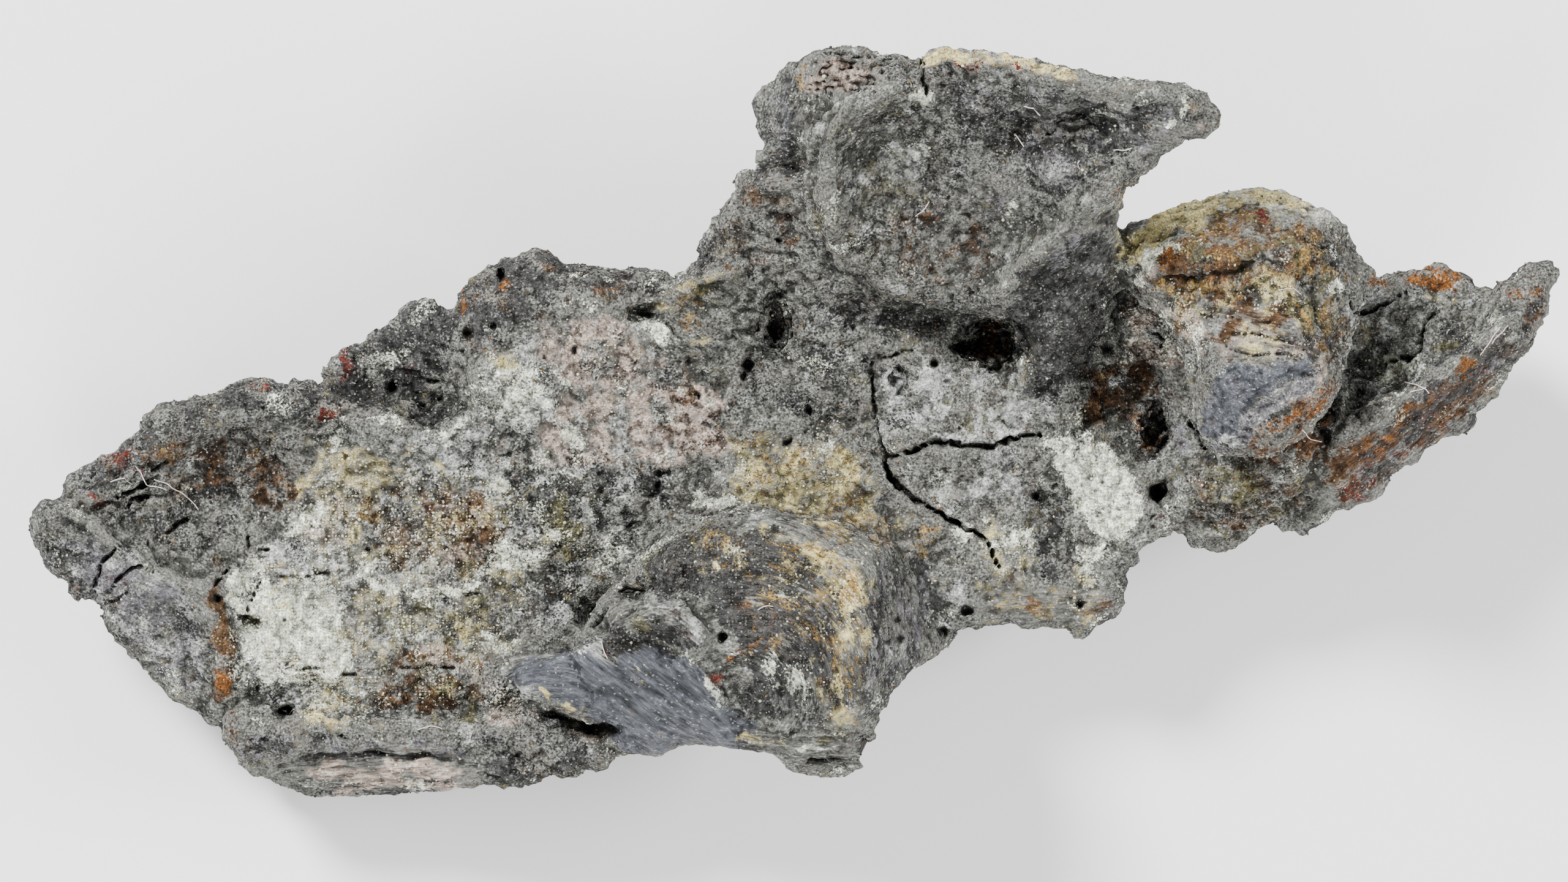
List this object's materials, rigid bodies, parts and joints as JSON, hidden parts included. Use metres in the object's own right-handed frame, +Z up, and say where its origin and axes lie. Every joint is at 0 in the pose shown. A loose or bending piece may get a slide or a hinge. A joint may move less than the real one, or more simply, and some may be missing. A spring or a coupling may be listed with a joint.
{
  "type": "native lead specimen",
  "caption": "Natural lump of weathered native lead: a shallow dish, a domed hump, a tall block with a spur, a knob and a thin blade.",
  "frame": {"origin": "centre of the lump's bounding box, on the surface that it lies on", "axes": "+X along the lump from the dish to the blade, +Y across it towards the spur, +Z up through its thickness"},
  "size_m": [0.0248, 0.0122, 0.0066],
  "materials": {
    "weathered_lead": "dull grey lead with dark oxide, white and cream carbonate bloom, ochre and rust stains and granular crust"
  },
  "bodies": {
    "root": {"native_lead": "weathered_lead"}
  },
  "joints": []
}
